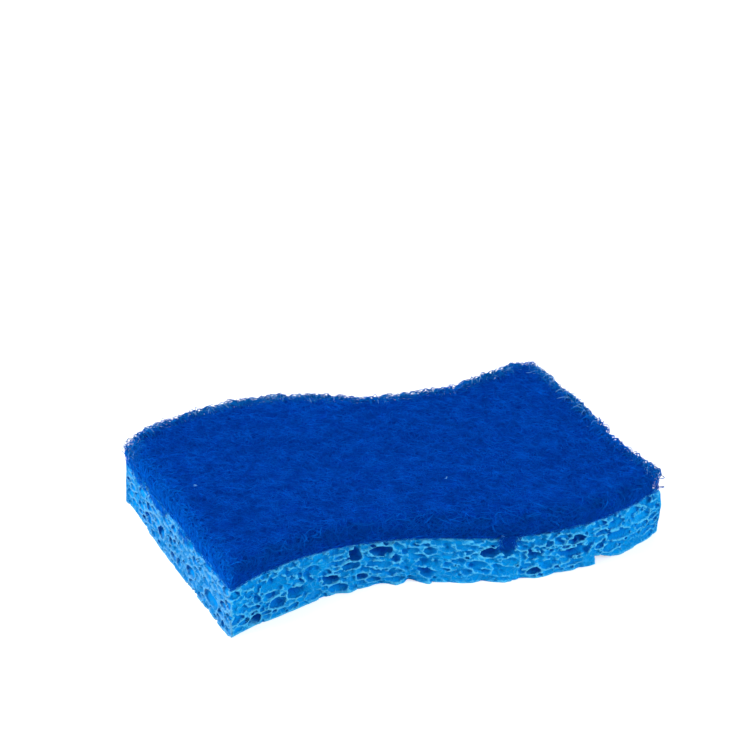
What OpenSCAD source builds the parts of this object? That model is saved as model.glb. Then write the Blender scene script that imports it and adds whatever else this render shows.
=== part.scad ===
// Two-layer scrub sponge with a wave-shaped outline: an open-pored sponge below and a fibre scrub pad above.
// Millimetres. The origin is at the middle of the sponge's underside, +X runs along its length and +Z up.

/* [Outline] */
// Length from one straight end to the other
sponge_length = 104; // [80:1:140]
// Width of the strip that the wave bends, as measured along a straight end
strip_width = 61; // [45:1:80]
// Height of each crest of the wave on the long sides
wave_height = 6.5; // [2:0.5:9]
// Radius of the two blunt corners
blunt_corner_radius = 1.5; // [1:0.25:4]
// Radius of the two keen corners
keen_corner_radius = 0.6; // [0.4:0.1:2]
// Radius of the pad's keen corner at the back, which is worn rounder than the sponge's
worn_corner_radius = 3.5; // [2:0.25:4]

/* [Layers] */
// Thickness of the open-pored sponge
sponge_thickness = 10.5; // [8:0.5:20]
// Thickness of the scrub pad
pad_thickness = 6; // [4:0.5:10]
// How far the pad stands out over the sponge all round
pad_overhang = 0.3; // [0:0.1:1]
// Radius of the soft rim round the pad's top face
pad_rim_radius = 2.5; // [1:0.25:3.5]

/* [Pores] */
// Length of the widest pores that are thrown at a wall
wide_pore_length = 6.5; // [5:0.5:9]
// Length of the smallest pores
small_pore_length = 1.5; // [1.2:0.1:2.5]
// Height of a small pore as a share of its length
pore_roundness = 0.72; // [0.5:0.02:0.9]
// Depth of a pore as a share of its height
pore_depth = 0.9; // [0.5:0.1:1.2]
// Least thickness of the skin left between two pores
pore_skin = 0.25; // [0.15:0.05:1]
// Draw of the pores' places: another number gives another sponge of the same kind
pore_seed = 11; // [1:1:99]
// Pores thrown at each long wall
long_wall_tries = 420; // [100:20:500]
// Pores thrown at each end wall
end_wall_tries = 240; // [60:20:300]
// Pores thrown at the underside
underside_tries = 120; // [60:10:240]

/* [Chip in the front lower edge] */
// Where the chip starts, from the middle, as a share of the length
chip_place = 0.31; // [-0.4:0.01:0.35]
// Length of the chip along the edge
chip_length = 6; // [2:0.5:8]
// Height of the chip at its broken face
chip_height = 2; // [0.5:0.25:3]
// How far the chip reaches in under the sponge
chip_reach = 2.5; // [1:0.5:5]

/* [Hidden] */

// Facets along each of the wave's arcs, round each corner and up the pad's rim
wave_facets = 11;
corner_facets = 4;
rim_facets = 4;
// Facets round the mouth and the floor of a wide pore, and of a small one
wide_facets = [9, 4];
small_facets = [6, 3];
// Length above which a pore gets the wide pore's facets
fine_pore_length = 3;
// Size of a pore's floor as a share of its mouth
floor_share = 0.5;
// How fast thrown pores get smaller: 1 is evenly, and more gives fewer wide ones
size_falloff = 2;
// How much flatter the widest pores are than the smallest, as a share of their length
wide_pore_squash = 0.3;
// How much pores of one length differ in height, as a share of it, and how far they lean, in degrees
height_spread = 0.4;
lean_spread = 24;
// How close a pore's middle may come to a wall's edge, as a share of the pore's height
edge_room = 0.42;
// How far a pore's mouth is drawn outside the wall, so that a curved wall is cut right across
mouth_rise = 0.4;
// Thickness of the discs that a pore is stretched between
disc = 0.02;
// Corner radius left where the rim has taken a keen corner's own radius
least_radius = 0.1;
// Distance that a cutting tool passes beyond what it cuts
clear = 1;

// Wide pores of the front wall. Each is its place along from the middle and up from the underside, as shares
// of the sponge's length and thickness, then its length and height. The last three open at the lower edge.
FRONT_PORES = [
    [-0.44, 0.12, 3.4, 2.2], [-0.465, 0.5, 2.6, 1.8], [-0.385, 0.71, 6.6, 2.8], [-0.38, 0.31, 4.2, 2.4],
    [-0.36, 0.88, 2.8, 1.4], [-0.335, 0.36, 4.2, 2.2], [-0.34, 0.09, 2.8, 1.4], [-0.3, 0.69, 6.2, 2.3],
    [-0.245, 0.36, 3.6, 2.1], [-0.235, 0.5, 2.6, 1.0], [-0.195, 0.8, 2.7, 3.0], [-0.14, 0.82, 5.0, 2.6],
    [-0.108, 0.59, 1.9, 1.7], [-0.042, 0.74, 2.6, 1.7], [-0.055, 0.48, 3.2, 1.7], [-0.048, 0.24, 3.0, 2.0],
    [0.072, 0.71, 3.7, 2.4], [0.105, 0.27, 6.6, 2.5], [0.163, 0.57, 2.9, 1.8], [0.172, 0.83, 2.8, 1.4],
    [0.165, 0.18, 3.2, 1.8], [0.262, 0.72, 5.0, 1.9], [0.257, 0.46, 7.6, 2.2], [0.25, 0.21, 6.2, 1.5],
    [0.365, 0.81, 5.0, 2.0], [0.374, 0.5, 7.0, 2.5], [0.437, 0.66, 5.0, 2.0], [0.45, 0.25, 4.2, 1.7],
    [-0.142, -0.07, 6.0, 2.7], [-0.086, -0.03, 3.6, 2.6], [-0.017, -0.05, 3.4, 1.6]
];

half_length = sponge_length / 2;
half_width = strip_width / 2;
total_thickness = sponge_thickness + pad_thickness;
// The wave is two equal arcs a side. Each spans half the length, and they meet at the middle without a kink.
crest_x = sponge_length / 4;
wave_radius = (crest_x * crest_x + wave_height * wave_height) / (2 * wave_height);

// How far the wave carries a long side towards +Y at a given x
function wave(x) =
    -sign(x) * (sqrt(pow(wave_radius, 2) - pow(abs(x) - crest_x, 2)) - wave_radius + wave_height);

// Direction of a long side at a given x, in degrees from +X
function wave_angle(x) = asin((abs(x) - crest_x) / wave_radius);

function arc(centre, radius, from, to, facets) = [
    for (i = [0:facets])
        let (a = from + (to - from) * i / facets)
        centre + radius * [cos(a), sin(a)]
];

// Back half of the outline, drawn inset by a given distance: round the blunt corner at -X, over the crest,
// through the dip and round the keen corner at +X
function back_half(inset, keen_radius) =
    let (
        end_x = half_length - inset,
        blunt = max(blunt_corner_radius - inset, least_radius),
        keen = max(keen_radius - inset, least_radius),
        crest_centre = [-crest_x, half_width + wave_height - wave_radius],
        dip_centre = [crest_x, half_width - wave_height + wave_radius],
        crest_r = wave_radius - inset,
        dip_r = wave_radius + inset,
        blunt_dx = blunt - end_x + crest_x,
        blunt_arm = [blunt_dx, sqrt(pow(crest_r - blunt, 2) - pow(blunt_dx, 2))],
        keen_dx = end_x - keen - crest_x,
        keen_arm = [keen_dx, -sqrt(pow(dip_r + keen, 2) - pow(keen_dx, 2))],
        crest_from = atan2(blunt_arm[1], blunt_arm[0]),
        crest_to = atan2(wave_radius - wave_height, crest_x),
        dip_to = atan2(keen_arm[1], keen_arm[0])
    )
    concat(
        arc(crest_centre + blunt_arm, blunt, 180, crest_from, corner_facets),
        [for (p = [1:wave_facets]) arc(crest_centre, crest_r, crest_from, crest_to, wave_facets)[p]],
        [for (p = [1:wave_facets]) arc(dip_centre, dip_r, crest_to - 180, dip_to, wave_facets)[p]],
        [for (p = [1:corner_facets]) arc(dip_centre + keen_arm, keen, dip_to + 180, 0, corner_facets)[p]]
    );

// The front half is the back half turned through 180 degrees. Only the back keen corner may differ in radius.
function outline(inset, back_keen_radius = keen_corner_radius) =
    concat(back_half(inset, back_keen_radius), -back_half(inset, keen_corner_radius));

// A pore is [place along the wall, place up the wall, length, height, lean in degrees].
// Thrown pores start wide and flat and get smaller and rounder.
function thrown(n, tries, run, rise, luck) =
    let (
        size = pow(1 - n / tries, size_falloff),
        length = small_pore_length + (wide_pore_length - small_pore_length) * size,
        spread = 1 + height_spread * (luck[4 * n + 2] - 0.5),
        height = length * (pore_roundness - wide_pore_squash * size) * spread
    )
    [luck[4 * n] * run, edge_room * height + luck[4 * n + 1] * (rise - 2 * edge_room * height),
     length, height, lean_spread * (luck[4 * n + 3] - 0.5)];

// Whether a pore leaves at least the skin between itself and every pore kept so far
function lies_clear(pore, kept) =
    len([
        for (other = kept)
            let (
                reach = [pore[2] + other[2], pore[3] + other[3]] / 2 + [pore_skin, pore_skin],
                apart = [pore[0] - other[0], pore[1] - other[1]]
            )
            if (pow(apart[0] / reach[0], 2) + pow(apart[1] / reach[1], 2) < 1) 1
    ]) == 0;

// Throws pores at a wall and keeps each one that lies clear of all kept before it
function scatter(tries, run, rise, luck, kept = [], n = 0) =
    n == tries ? kept :
    let (pore = thrown(n, tries, run, rise, luck))
    scatter(tries, run, rise, luck, lies_clear(pore, kept) ? concat(kept, [pore]) : kept, n + 1);

// A bowl with an oval mouth, long in X and as high in Z as the pore, cut into +Y from the wall's face
module pore(length, height, lean) {
    facets = length > fine_pore_length ? wide_facets : small_facets;
    rotate([0, lean, 0])
        hull() {
            translate([0, -mouth_rise, 0]) pore_disc(length, height, facets[0]);
            translate([0, pore_depth * height, 0])
                pore_disc(floor_share * length, floor_share * height, facets[1]);
        }
}

module pore_disc(length, height, facets) {
    rotate([90, 0, 0]) linear_extrude(disc, center = true) scale([length, height]) circle(d = 1, $fn = facets);
}

// Pores over a long wall: side is -1 for the front wall and 1 for the back one. The pores in placed come
// first, by their shares of the wall.
module long_wall_pores(side, seed, placed = []) {
    run = sponge_length - wide_pore_length;
    first = [for (p = placed) [p[0] * sponge_length + run / 2, p[1] * sponge_thickness, p[2], p[3], 0]];
    for (p = scatter(long_wall_tries, run, sponge_thickness, rands(0, 1, 4 * long_wall_tries, seed), first)) {
        x = p[0] - run / 2;
        translate([x, side * half_width + wave(x), p[1]])
            rotate(wave_angle(x) + (side > 0 ? 180 : 0))
                pore(p[2], p[3], p[4]);
    }
}

// Pores over an end wall: side is -1 for the left end and 1 for the right one
module end_wall_pores(side, seed) {
    run = strip_width - wide_pore_length;
    for (p = scatter(end_wall_tries, run, sponge_thickness, rands(0, 1, 4 * end_wall_tries, seed)))
        translate([side * half_length, p[0] - run / 2, p[1]])
            rotate(90 * side)
                pore(p[2], p[3], p[4]);
}

// Pores over the underside, which shift with the wave as its long sides do
module underside_pores(seed) {
    run = sponge_length - 2 * wide_pore_length;
    rise = strip_width - wide_pore_length;
    for (p = scatter(underside_tries, run, rise, rands(0, 1, 4 * underside_tries, seed))) {
        x = p[0] - run / 2;
        translate([x, p[1] - rise / 2 + wave(x), 0])
            rotate([90, 0, 0])
                pore(p[2], p[3], p[4]);
    }
}

// The flake that has broken out of the front lower edge: a wedge that is deepest at its -X end
module edge_chip() {
    x = chip_place * sponge_length;
    translate([x, wave(x) - half_width + chip_reach, 0])
        rotate(wave_angle(x))
            rotate([90, 0, 0])
                linear_extrude(chip_reach + wave_height)
                    polygon([[0, -clear], [0, chip_height], [chip_length, 0], [chip_length, -clear]]);
}

module cellulose_sponge() {
    color([0.10, 0.55, 0.90])
        difference() {
            linear_extrude(sponge_thickness) polygon(outline(0));
            long_wall_pores(-1, pore_seed, FRONT_PORES);
            long_wall_pores(1, pore_seed + 1);
            end_wall_pores(-1, pore_seed + 2);
            end_wall_pores(1, pore_seed + 3);
            underside_pores(pore_seed + 4);
            edge_chip();
        }
}

// Rings of points that run up the pad's side and over its soft rim
module scrub_pad() {
    levels = concat(
        [[-pad_overhang, sponge_thickness]],
        [for (i = [0:rim_facets])
            let (a = 90 * i / rim_facets)
            [pad_rim_radius * (1 - cos(a)) - pad_overhang,
             total_thickness - pad_rim_radius * (1 - sin(a))]]
    );
    rings = [for (level = levels) [for (p = outline(level[0], worn_corner_radius)) [p[0], p[1], level[1]]]];
    around = len(rings[0]);
    sides = [
        for (k = [0:len(rings) - 2])
            for (i = [0:around - 1])
                let (j = (i + 1) % around)
                [k * around + i, k * around + j, (k + 1) * around + j, (k + 1) * around + i]
    ];
    // The flat faces are strips that join the back half of a ring to the front half
    last = (len(rings) - 1) * around;
    bottom = [for (i = [0:around / 2 - 2]) [around - 1 - i, around - 2 - i, i + 1, i]];
    top = [for (i = [0:around / 2 - 2]) [last + i, last + i + 1, last + around - 2 - i, last + around - 1 - i]];
    color([0.0, 0.24, 0.65])
        polyhedron([for (ring = rings) for (p = ring) p], concat(bottom, top, sides));
}

cellulose_sponge();
scrub_pad();
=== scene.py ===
"""Looks of a two-layer scrub sponge: a light-blue open-pored sponge with a royal-blue fibre pad on top.

Forms are worked out in millimetres and made in metres. The sponge and the pad share a wave-shaped outline.
"""
import math

import bpy
import numpy as np
from mathutils import Matrix, Vector


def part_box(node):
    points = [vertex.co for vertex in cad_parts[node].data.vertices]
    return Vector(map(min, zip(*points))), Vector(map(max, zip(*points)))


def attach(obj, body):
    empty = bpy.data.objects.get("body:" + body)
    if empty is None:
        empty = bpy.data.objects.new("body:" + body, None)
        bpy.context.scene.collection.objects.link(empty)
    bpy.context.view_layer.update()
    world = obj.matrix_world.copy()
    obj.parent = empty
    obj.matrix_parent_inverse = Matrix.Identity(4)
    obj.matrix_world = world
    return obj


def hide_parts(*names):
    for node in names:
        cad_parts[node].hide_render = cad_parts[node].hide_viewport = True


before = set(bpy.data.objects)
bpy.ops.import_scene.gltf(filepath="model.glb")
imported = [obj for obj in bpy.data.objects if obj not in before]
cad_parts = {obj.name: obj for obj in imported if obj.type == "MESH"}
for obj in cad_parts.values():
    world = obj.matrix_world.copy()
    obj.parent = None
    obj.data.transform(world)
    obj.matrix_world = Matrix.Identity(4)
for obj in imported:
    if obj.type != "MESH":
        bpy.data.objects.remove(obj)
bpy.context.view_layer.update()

MM = 0.001


def box_mm(node):
    """Lowest and highest corner of a solid of the frame, in millimetres."""
    low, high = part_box(node)
    return np.array(low) / MM, np.array(high) / MM


# Places of both layers in the frame. Their wave-shaped outline is a strip that a wave bends
SPONGE_LOW, SPONGE_HIGH = box_mm("cellulose_sponge")
PAD_LOW, PAD_HIGH = box_mm("scrub_pad")
WAVE_HEIGHT = 6.5
LENGTH = SPONGE_HIGH[0] - SPONGE_LOW[0]
STRIP_WIDTH = SPONGE_HIGH[1] - SPONGE_LOW[1] - 2 * WAVE_HEIGHT
THICKNESS = SPONGE_HIGH[2]
TOP = PAD_HIGH[2]
OVERHANG = SPONGE_LOW[0] - PAD_LOW[0]
# The wave is an arc over each half of the length
CREST = LENGTH / 4
WAVE_RADIUS = (CREST**2 + WAVE_HEIGHT**2) / (2 * WAVE_HEIGHT)
# How far the corners are from square, as the sine of the long sides' slope there
CORNER_LEAN = CREST / WAVE_RADIUS

# Radii of the corners seen from above, and of the edges
BLUNT_CORNER = 1.5
KEEN_CORNER = 0.6
SPONGE_EDGE = 0.2
PAD_RIM = 2.5
PAD_FOOT = 0.5
# The pad's back corner at +X is worn off along a line: a place on it, its direction out of the pad, and the
# radius of the edge that it leaves
WORN_AT, WORN_OUT = (46.0, 28.2), (0.19, 0.982)
WORN_CORNER = 1.2

# The sponge's walls come out this far towards the floor
FOOT_OUT = 0.55
# Soft bumps of the walls, as place along, half width and reach. The foot of the sponge's front wall flares
# near the left, and the foot of its left end is hollow towards the back
FRONT_FLARE = (-37.5, 8.0, 1.6)
LEFT_FOOT_HOLLOW = (24.0, 8.0, 0.8)
# The pad's right end is hollow behind and bulges near the front, and its left end bulges at the back
RIGHT_END_HOLLOW = (-15.0, 12.0, 1.7)
RIGHT_END_BULGE = (-30.5, 3.0, 0.7)
LEFT_END_BULGE = (27.0, 4.0, 0.5)
# The pad's back rim wavers, inwards where the reach is below zero
BACK_WAVERS = [
    (-50.0, 2.5, -1.2), (-39.0, 2.0, -0.9), (-17.0, 12.0, 0.8), (6.0, 3.5, -1.0), (27.0, 3.0, -1.2),
    (37.0, 2.5, 0.6),
]
# Nicks in the sponge's front lower edge, where the reach goes in, and lumps, where it is below zero
NICKS = [
    (-14.6, 1.8, 1.1), (-8.0, 1.2, 1.9), (6.2, 1.3, 1.0), (14.8, 1.8, 0.9), (22.8, 2.2, 0.8),
    (28.0, 1.6, 0.5), (-22.0, 1.5, -0.9), (-11.5, 0.8, -0.6), (-4.9, 0.8, -0.7), (2.6, 1.6, -0.3),
    (10.5, 1.4, -0.5), (41.0, 3.0, -0.3),
]
NICK_HEIGHT = 3.5
# The sponge's right front corner bulges: its middle in x, v and z, its half width and reach
BULGE_AT, BULGE_WIDE, BULGE_OUT = (52.0, -30.5, 7.5), 5.5, 0.9


def wave(x):
    """How far the wave carries a long side towards +Y at x."""
    rise = np.sqrt(np.maximum(WAVE_RADIUS**2 - (np.abs(x) - CREST) ** 2, 0)) - WAVE_RADIUS
    return -np.sign(x) * (rise + WAVE_HEIGHT)


def straightened(places):
    """Places in x, v and z for places in x, y and z. In the straight strip, v runs between the long sides."""
    places = places.astype(float)
    places[:, 1] -= wave(places[:, 0])
    return places


def unit(ways):
    """Ways at a length of 1."""
    return ways / np.maximum(np.linalg.norm(ways, axis=-1, keepdims=True), 1e-6)


def wave_slope(x):
    """Slope of a long side at x."""
    out = np.abs(x) - CREST
    return out / np.sqrt(np.maximum(WAVE_RADIUS**2 - out**2, 1.0))


# Meshes

# Weights that leave a mesh's plain points with fewer triangles than its fine ones, and how much they count
PLAIN_WEIGHT, FINE_WEIGHT, WEIGHT_SHARE = 1.0, 0.5, 1e-5


def new_mesh(name, points, faces, corners):
    """A mesh object from points in millimetres and faces that all have the same number of corners."""
    mesh = bpy.data.meshes.new(name)
    mesh.vertices.add(len(points))
    mesh.vertices.foreach_set("co", (np.asarray(points, float) * MM).ravel())
    mesh.loops.add(faces.size)
    mesh.loops.foreach_set("vertex_index", faces.ravel().astype(np.int32))
    mesh.polygons.add(len(faces))
    mesh.polygons.foreach_set("loop_start", np.arange(0, faces.size, corners, dtype=np.int32))
    mesh.update(calc_edges=True)
    mesh.validate()
    mesh.shade_smooth()
    piece = bpy.data.objects.new(name, mesh)
    bpy.context.collection.objects.link(piece)
    return piece


def thin_out(piece, most_triangles, plain=None):
    """Leaves a mesh with at most that many triangles.

    They are taken first from its flat places and, where its plain points are given, from those.
    """
    piece.data.calc_loop_triangles()
    ratio = most_triangles / len(piece.data.loop_triangles)
    if ratio >= 1:
        return
    fewer = piece.modifiers.new("fewer", "DECIMATE")
    fewer.ratio = ratio
    fewer.use_collapse_triangulate = True
    if plain is not None:
        group = piece.vertex_groups.new(name="plain")
        for points, weight in ((plain, PLAIN_WEIGHT), (~plain, FINE_WEIGHT)):
            group.add(np.flatnonzero(points).tolist(), weight, "REPLACE")
        fewer.vertex_group, fewer.vertex_group_factor = group.name, WEIGHT_SHARE
    seen = piece.evaluated_get(bpy.context.evaluated_depsgraph_get())
    mesh = bpy.data.meshes.new_from_object(seen)
    piece.modifiers.clear()
    piece.vertex_groups.clear()
    piece.data = mesh
    mesh.shade_smooth()


def note(piece, name, values):
    """Keeps one number for each point of a piece, for its material to read."""
    piece.data.attributes.new(name, "FLOAT", "POINT").data.foreach_set("value", values.astype(np.float32))


def points_of(piece):
    """The points of a piece, in millimetres."""
    places = np.empty(len(piece.data.vertices) * 3, np.float32)
    piece.data.vertices.foreach_get("co", places)
    return places.reshape(-1, 3) / MM


# The sponge: a block of small cells, solid or hollow, whose skin becomes the mesh

SPONGE_CELL = 0.23
PAD_CELL = 0.5
# Room round a layer in its block, for what comes out of the plain outline
MARGIN = 2.6
SPONGE_TRIANGLES = 196_000


class Block:
    """A block of cells in x, v and z that a layer is carved from."""

    def __init__(self, bottom, top, cell):
        reach = np.array([LENGTH / 2, STRIP_WIDTH / 2, 0]) + MARGIN
        self.cell = cell
        self.low = np.array([0, 0, bottom]) - reach
        self.shape = tuple(np.ceil((np.array([0, 0, top]) + reach - self.low) / cell).astype(int) + 1)
        axes = [self.low[k] + cell * np.arange(self.shape[k], dtype=np.float32) for k in range(3)]
        self.x, self.v, self.z = np.meshgrid(*axes, indexing="ij", sparse=True)

    def noise(self, size, rng):
        """Soft noise from -1 to 1 whose lumps are about as big as size."""
        span = np.array(self.shape) * self.cell / size
        lattice = rng.uniform(-1, 1, np.ceil(span).astype(int) + 2)
        for axis in range(3):
            at = np.arange(self.shape[axis]) * self.cell / size
            first = at.astype(int)
            part = at - first
            part = part * part * (3 - 2 * part)
            part = part.reshape([-1 if k == axis else 1 for k in range(3)])
            lattice = lattice.take(first, axis) * (1 - part) + lattice.take(first + 1, axis) * part
        return lattice.astype(np.float32)

    def near(self, centre, reach):
        """The part of the block within reach of a centre, as slices."""
        first = np.floor((centre - reach - self.low) / self.cell).astype(int)
        last = np.ceil((centre + reach - self.low) / self.cell).astype(int) + 1
        return tuple(slice(max(first[k], 0), max(min(last[k], self.shape[k]), 0)) for k in range(3))

    def read(self, field, places):
        """A field of the block, read at places given by x, v and z."""
        at = (places - self.low) / self.cell
        first = np.clip(np.floor(at).astype(int), 0, np.array(self.shape) - 2)
        part = np.clip(at - first, 0, 1)
        total = np.zeros(len(at))
        for corner in np.ndindex(2, 2, 2):
            share = np.prod(np.where(corner, part, 1 - part), 1)
            total += share * field[tuple((first + corner).T)]
        return total

    def mesh(self, name, solid):
        """The skin of what is solid, as a mesh object along the wave."""
        # The outermost cells stay empty, so that the skin closes
        for axis in range(3):
            for end in (0, -1):
                np.moveaxis(solid, axis, 0)[end] = 1.0
        points, quads = largest_part(*skin_of(solid))
        points = self.low + self.cell * points
        points[:, 1] += wave(points[:, 0])
        return new_mesh(name, points, quads, 4)


def round_join(a, b, radius, lean=0.0):
    """Distance outside two faces that meet in a rounded edge. The lean is their normals' cosine."""
    a, b = a + radius, b + radius
    round_it = (a > b * lean) & (b > a * lean)
    far = np.sqrt(np.maximum(a * a + b * b - 2 * lean * a * b, 0) / (1 - lean**2))
    return np.where(round_it, far, np.maximum(a, b)) - radius


def outside_walls(x, v, overhang):
    """Distance outside the walls that stand on the outline, grown by an overhang. It is below zero inside."""
    side = (np.abs(v) - STRIP_WIDTH / 2 - overhang) / np.sqrt(1 + wave_slope(x) ** 2)
    end = np.abs(x) - LENGTH / 2 - overhang
    keen = x * v > 0
    radius = np.where(keen, KEEN_CORNER, BLUNT_CORNER)
    return round_join(side, end, radius, np.where(keen, -CORNER_LEAN, CORNER_LEAN))


def hump(along, bump):
    """Height along a wall of a soft bump given by its place, half width and reach."""
    at, wide, reach = bump
    return reach * np.exp(-(((along - at) / wide) ** 2))


def flared(x, v, z):
    """Place in the plain sponge that stands for a place in one whose walls flare out and have nicks."""
    low = np.clip(1 - z / THICKNESS, 0, 1)
    nick = sum(hump(x, bump) for bump in NICKS) * np.clip(1 - z / NICK_HEIGHT, 0, 1) ** 2
    away = sum(((place - middle) / BULGE_WIDE) ** 2 for place, middle in zip((x, v, z), BULGE_AT))
    bulge = BULGE_OUT * np.exp(-away)
    v = v + (v < 0) * (hump(x, FRONT_FLARE) * low - nick) + bulge
    x = x - bulge - (x < 0) * hump(v, LEFT_FOOT_HOLLOW) * low
    return x * (1 - FOOT_OUT * low / (LENGTH / 2)), v * (1 - FOOT_OUT * low / (STRIP_WIDTH / 2))


def outside_sponge(x, v, z):
    """Distance outside the sponge's plain outer faces."""
    flat = np.abs(z - THICKNESS / 2) - THICKNESS / 2
    return round_join(outside_walls(*flared(x, v, z), 0), flat, SPONGE_EDGE)


def outside_pad(x, v, z, sunk=0.0):
    """Distance outside the pad's plain outer faces, or outside a body that is sunk in from them."""
    worn = (x - WORN_AT[0]) * WORN_OUT[0] + (v + wave(x) - WORN_AT[1]) * WORN_OUT[1] + sunk
    moved = x + (x > CREST) * (hump(v, RIGHT_END_HOLLOW) - hump(v, RIGHT_END_BULGE))
    moved = moved + (x < -CREST) * hump(v, LEFT_END_BULGE)
    walls = outside_walls(moved, v - (v > 0) * sum(hump(x, bump) for bump in BACK_WAVERS), OVERHANG - sunk)
    walls = np.where(x > CREST, round_join(walls, worn, WORN_CORNER), walls)
    top = z - TOP + sunk * TOP_SUNK_SHARE
    return np.maximum(round_join(walls, top, PAD_RIM), round_join(walls, THICKNESS - z, PAD_FOOT))


# Wide pores of the front wall: place along from the middle, place up, length, height, and depth as a share of
# the height
SHALLOW, USUAL, DEEP = 0.35, 0.65, 1.3
FRONT_PORES = [
    (-45.4, 1.5, 3.6, 2.2, DEEP), (-48.4, 5.2, 2.6, 1.9, USUAL), (-46.6, 7.8, 2.6, 1.5, USUAL),
    (-44.4, 5.8, 2.0, 1.6, USUAL), (-40.2, 7.5, 6.8, 2.9, SHALLOW), (-39.4, 3.2, 4.2, 2.4, USUAL),
    (-37.4, 9.2, 2.8, 1.4, USUAL), (-34.9, 3.8, 4.4, 2.2, DEEP), (-35.5, 1.2, 2.8, 1.3, DEEP),
    (-33.7, 5.9, 1.6, 1.1, DEEP), (-31.0, 7.3, 6.4, 2.3, SHALLOW), (-36.7, 5.6, 2.2, 1.3, USUAL),
    (-25.6, 3.8, 3.8, 2.1, DEEP), (-24.0, 5.4, 2.8, 1.0, DEEP), (-20.3, 8.4, 2.8, 3.1, DEEP),
    (-14.5, 8.6, 5.2, 2.5, DEEP), (-13.5, 5.4, 2.2, 1.8, USUAL), (-11.2, 6.3, 2.0, 1.8, DEEP),
    (-4.4, 7.8, 2.7, 1.8, USUAL), (-5.6, 5.0, 3.4, 1.8, DEEP), (-4.9, 2.5, 3.2, 2.1, DEEP),
    (-18.6, 1.6, 2.2, 1.3, USUAL), (-30.2, 1.6, 4.4, 1.9, SHALLOW), (-43.2, 3.0, 1.6, 1.1, USUAL),
    (-1.0, 4.6, 2.4, 1.4, USUAL), (7.6, 7.4, 3.9, 2.5, DEEP), (2.6, 8.9, 4.4, 1.5, USUAL),
    (4.3, 6.8, 2.2, 1.2, USUAL), (3.0, 2.8, 2.4, 1.5, USUAL), (10.8, 2.8, 6.8, 2.4, SHALLOW),
    (17.0, 5.9, 3.0, 1.9, DEEP), (18.1, 8.7, 3.0, 1.5, USUAL), (17.0, 1.9, 3.3, 1.9, DEEP),
    (13.1, 6.8, 2.2, 1.8, USUAL), (27.3, 7.6, 5.2, 2.0, DEEP), (26.7, 4.8, 8.2, 2.4, USUAL),
    (26.0, 2.2, 6.4, 1.5, USUAL), (37.9, 8.4, 5.2, 2.1, USUAL), (38.9, 5.2, 7.3, 2.6, USUAL),
    (45.5, 7.0, 5.4, 2.1, SHALLOW), (47.0, 2.8, 4.4, 1.8, USUAL), (33.4, 4.4, 2.6, 1.6, USUAL),
    (11.4, 7.4, 3.0, 2.4, DEEP),
]
# Wide pores of the left end, placed along from the middle towards the back
LEFT_PORES = [
    (-20.3, 3.7, 8.2, 3.4, 0.5), (15.8, 3.6, 4.8, 2.8, USUAL), (7.6, 4.6, 4.0, 2.7, USUAL),
    (12.2, 1.4, 3.2, 1.7, USUAL), (0.2, 6.2, 1.7, 1.2, DEEP), (-9.0, 4.0, 4.2, 2.8, USUAL),
    (25.6, 6.0, 2.9, 1.7, USUAL), (-11.0, 7.6, 2.8, 1.9, USUAL), (-2.6, 2.4, 3.6, 2.2, USUAL),
    (20.6, 2.4, 2.4, 1.4, USUAL), (-29.8, 4.4, 2.6, 1.7, USUAL), (-26.6, 1.3, 2.2, 1.5, USUAL),
    (-22.6, 0.9, 2.4, 1.1, USUAL), (-18.6, 0.9, 2.6, 1.1, USUAL), (-14.6, 1.2, 2.6, 1.4, USUAL),
    (-6.6, 1.0, 2.6, 1.2, USUAL), (4.2, 1.1, 3.0, 1.3, USUAL), (8.6, 1.3, 2.0, 1.3, USUAL),
    (17.0, 0.9, 2.6, 1.1, USUAL), (24.6, 2.6, 2.8, 1.5, USUAL), (27.4, 1.2, 2.0, 1.2, USUAL),
]
# Chip in the front lower edge: where it starts, its length, height and reach under the sponge, and its slope
CHIP_AT, CHIP_LENGTH, CHIP_HEIGHT, CHIP_REACH = 32.0, 6.2, 2.1, 2.5
CHIP_STEEP = 0.9

# Pores thrown at each face, and the widest of them. In front and at the left the wide ones are listed
FRONT_THROWS, BACK_THROWS, END_THROWS, UNDER_THROWS = 24_000, 20_000, 14_000, 14_000
SMALLEST_PORE = 0.8
WIDEST_BETWEEN, WIDEST_THROWN, WIDEST_UNDER = 3.6, 6.5, 6.0
# How fast the thrown pores get smaller, and the least and the spread of the luck in their length and height
SMALLER = 6
LEAST_LUCK, LUCK = 0.75, 0.5
# Height of a thrown pore as a share of its length, and how much less that is for a wide one
HEIGHT_SHARE, WIDE_FLATTER = 0.62, 0.15
# Depth of a thrown pore as a share of its height, and how much more that is by luck and for a small one
LEAST_DEPTH, LUCK_DEPTH, SMALL_DEPTH = 0.3, 0.5, 0.35
LEFT_DEPTH, UNDER_DEPTH = 0.9, 0.7
# Middles of pores keep this share of their length and this gap off a corner, or the lower share of it where
# they reach round it
CORNER_SHARE, CORNER_GAP = 0.7, 0.3
ROUND_SHARE = 0.3
# Pores press against each other: how near two may be as a share of their sizes, and the skin between them
PRESSED = 0.86
SKIN = 0.26
# Pores of the walls are carved this much longer and higher than packed, so that only skins are left of the
# wall, and less so where they are longer than this
GROWN, GROWN_UP_TO = 1.25, 3
# How far the middle of a pore lies in or out of its wall, as shares of its depth
OUTWARD, INWARD = -0.25, 0.15
# How much the pores lean, short ones more, and how long a short one is at most
SHORT_LEAN, LONG_LEAN, SHORT = 0.13, 0.06, 3
UNDER_LEAN, UNDER_SHORTER = 3, (0.7, 1.0)
EDGE_LEFT = 0.2
# The underside's pores keep off the walls' pores and off the walls
UNDER_APART = 0.5
UNDER_INSIDE = 1.3
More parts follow.
